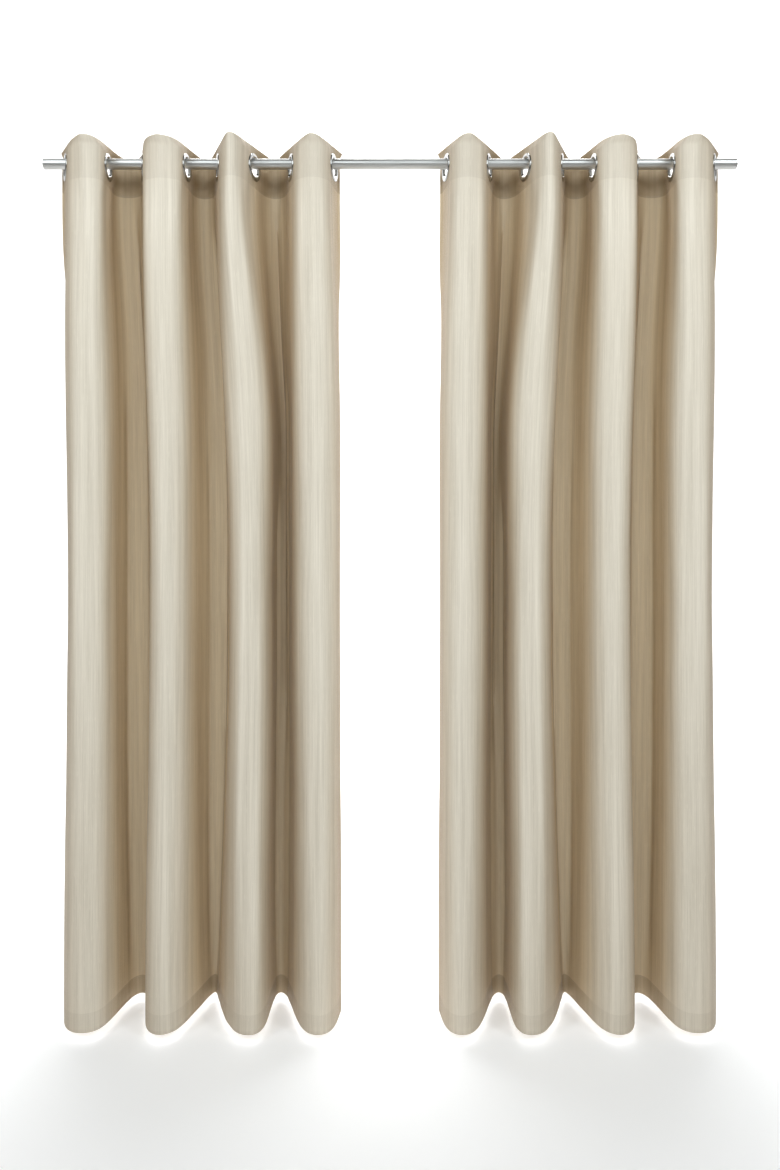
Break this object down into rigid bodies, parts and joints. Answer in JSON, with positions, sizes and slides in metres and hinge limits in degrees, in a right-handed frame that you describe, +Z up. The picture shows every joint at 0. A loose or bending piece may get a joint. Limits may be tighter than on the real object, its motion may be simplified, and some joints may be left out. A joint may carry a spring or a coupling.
{
  "type": "eyelet curtains on a rod",
  "caption": "Pair of floor-length eyelet curtains in cream slubbed cloth, hanging in deep soft folds from a plain round metal rod with square-cut ends.",
  "frame": {"origin": "on the rod's axis, half way along the rod", "axes": "+X along the rod, to the right as seen from the room; +Y from the room towards the window; +Z up"},
  "size_m": [1.7008, 0.1652, 2.134],
  "materials": {
    "rod_metal": "satin",
    "plug_plastic": "matte",
    "eyelet_metal": "polished",
    "eyelet_back_metal": "satin",
    "curtain_cloth": "satin"
  },
  "bodies": {
    "root": {"rod_tube": "rod_metal", "end_plug_left": "plug_plastic", "end_plug_right": "plug_plastic"},
    "left_slider_1": {"left_eyelet_1_front": "eyelet_metal", "left_eyelet_1_back": "eyelet_back_metal", "left_fold_1": "curtain_cloth"},
    "left_slider_2": {"left_eyelet_2_front": "eyelet_metal", "left_eyelet_2_back": "eyelet_back_metal", "left_fold_2": "curtain_cloth"},
    "left_slider_3": {"left_eyelet_3_front": "eyelet_metal", "left_eyelet_3_back": "eyelet_back_metal", "left_fold_3": "curtain_cloth"},
    "left_slider_4": {"left_eyelet_4_front": "eyelet_metal", "left_eyelet_4_back": "eyelet_back_metal", "left_fold_4": "curtain_cloth"},
    "left_slider_5": {"left_eyelet_5_front": "eyelet_metal", "left_eyelet_5_back": "eyelet_back_metal", "left_fold_5": "curtain_cloth"},
    "left_slider_6": {"left_eyelet_6_front": "eyelet_metal", "left_eyelet_6_back": "eyelet_back_metal", "left_fold_6": "curtain_cloth"},
    "left_slider_7": {"left_eyelet_7_front": "eyelet_metal", "left_eyelet_7_back": "eyelet_back_metal", "left_fold_7": "curtain_cloth"},
    "left_slider_8": {"left_eyelet_8_front": "eyelet_metal", "left_eyelet_8_back": "eyelet_back_metal", "left_fold_8": "curtain_cloth"},
    "right_slider_1": {"right_eyelet_1_front": "eyelet_metal", "right_eyelet_1_back": "eyelet_back_metal", "right_fold_1": "curtain_cloth"},
    "right_slider_2": {"right_eyelet_2_front": "eyelet_metal", "right_eyelet_2_back": "eyelet_back_metal", "right_fold_2": "curtain_cloth"},
    "right_slider_3": {"right_eyelet_3_front": "eyelet_metal", "right_eyelet_3_back": "eyelet_back_metal", "right_fold_3": "curtain_cloth"},
    "right_slider_4": {"right_eyelet_4_front": "eyelet_metal", "right_eyelet_4_back": "eyelet_back_metal", "right_fold_4": "curtain_cloth"},
    "right_slider_5": {"right_eyelet_5_front": "eyelet_metal", "right_eyelet_5_back": "eyelet_back_metal", "right_fold_5": "curtain_cloth"},
    "right_slider_6": {"right_eyelet_6_front": "eyelet_metal", "right_eyelet_6_back": "eyelet_back_metal", "right_fold_6": "curtain_cloth"},
    "right_slider_7": {"right_eyelet_7_front": "eyelet_metal", "right_eyelet_7_back": "eyelet_back_metal", "right_fold_7": "curtain_cloth"},
    "right_slider_8": {"right_eyelet_8_front": "eyelet_metal", "right_eyelet_8_back": "eyelet_back_metal", "right_fold_8": "curtain_cloth"}
  },
  "joints": [
    {"name": "left_swing", "type": "hinge", "parent": "root", "child": "left_slider_1", "pos_m": [0, 0, 0], "axis": [-1, 0, 0], "range_deg": [-1, 12]},
    {"name": "left_draw", "type": "slide", "parent": "left_slider_1", "child": "left_slider_8", "axis": [1, 0, 0], "range_m": [-0.308, 0.118], "deforming": ["left_fold_8"]},
    {"name": "left_slide_2", "type": "slide", "parent": "left_slider_1", "child": "left_slider_2", "axis": [1, 0, 0], "range_m": [-0.044, 0.01686], "deforming": ["left_fold_1", "left_fold_2"]},
    {"name": "left_slide_3", "type": "slide", "parent": "left_slider_1", "child": "left_slider_3", "axis": [1, 0, 0], "range_m": [-0.088, 0.03371], "deforming": ["left_fold_3"]},
    {"name": "left_slide_4", "type": "slide", "parent": "left_slider_1", "child": "left_slider_4", "axis": [1, 0, 0], "range_m": [-0.132, 0.05057], "deforming": ["left_fold_4"]},
    {"name": "left_slide_5", "type": "slide", "parent": "left_slider_1", "child": "left_slider_5", "axis": [1, 0, 0], "range_m": [-0.176, 0.06743], "deforming": ["left_fold_5"]},
    {"name": "left_slide_6", "type": "slide", "parent": "left_slider_1", "child": "left_slider_6", "axis": [1, 0, 0], "range_m": [-0.22, 0.08429], "deforming": ["left_fold_6"]},
    {"name": "left_slide_7", "type": "slide", "parent": "left_slider_1", "child": "left_slider_7", "axis": [1, 0, 0], "range_m": [-0.264, 0.10114], "deforming": ["left_fold_7"]},
    {"name": "right_swing", "type": "hinge", "parent": "root", "child": "right_slider_1", "pos_m": [0, 0, 0], "axis": [-1, 0, 0], "range_deg": [-1, 12]},
    {"name": "right_draw", "type": "slide", "parent": "right_slider_1", "child": "right_slider_8", "axis": [-1, 0, 0], "range_m": [-0.308, 0.118], "deforming": ["right_fold_8"]},
    {"name": "right_slide_2", "type": "slide", "parent": "right_slider_1", "child": "right_slider_2", "axis": [-1, 0, 0], "range_m": [-0.044, 0.01686], "deforming": ["right_fold_1", "right_fold_2"]},
    {"name": "right_slide_3", "type": "slide", "parent": "right_slider_1", "child": "right_slider_3", "axis": [-1, 0, 0], "range_m": [-0.088, 0.03371], "deforming": ["right_fold_3"]},
    {"name": "right_slide_4", "type": "slide", "parent": "right_slider_1", "child": "right_slider_4", "axis": [-1, 0, 0], "range_m": [-0.132, 0.05057], "deforming": ["right_fold_4"]},
    {"name": "right_slide_5", "type": "slide", "parent": "right_slider_1", "child": "right_slider_5", "axis": [-1, 0, 0], "range_m": [-0.176, 0.06743], "deforming": ["right_fold_5"]},
    {"name": "right_slide_6", "type": "slide", "parent": "right_slider_1", "child": "right_slider_6", "axis": [-1, 0, 0], "range_m": [-0.22, 0.08429], "deforming": ["right_fold_6"]},
    {"name": "right_slide_7", "type": "slide", "parent": "right_slider_1", "child": "right_slider_7", "axis": [-1, 0, 0], "range_m": [-0.264, 0.10114], "deforming": ["right_fold_7"]}
  ],
  "couplings": [
    {"joint": "left_slide_2", "follows": "left_draw", "ratio": 0.14286},
    {"joint": "left_slide_3", "follows": "left_draw", "ratio": 0.28571},
    {"joint": "left_slide_4", "follows": "left_draw", "ratio": 0.42857},
    {"joint": "left_slide_5", "follows": "left_draw", "ratio": 0.57143},
    {"joint": "left_slide_6", "follows": "left_draw", "ratio": 0.71429},
    {"joint": "left_slide_7", "follows": "left_draw", "ratio": 0.85714},
    {"joint": "right_slide_2", "follows": "right_draw", "ratio": 0.14286},
    {"joint": "right_slide_3", "follows": "right_draw", "ratio": 0.28571},
    {"joint": "right_slide_4", "follows": "right_draw", "ratio": 0.42857},
    {"joint": "right_slide_5", "follows": "right_draw", "ratio": 0.57143},
    {"joint": "right_slide_6", "follows": "right_draw", "ratio": 0.71429},
    {"joint": "right_slide_7", "follows": "right_draw", "ratio": 0.85714}
  ]
}
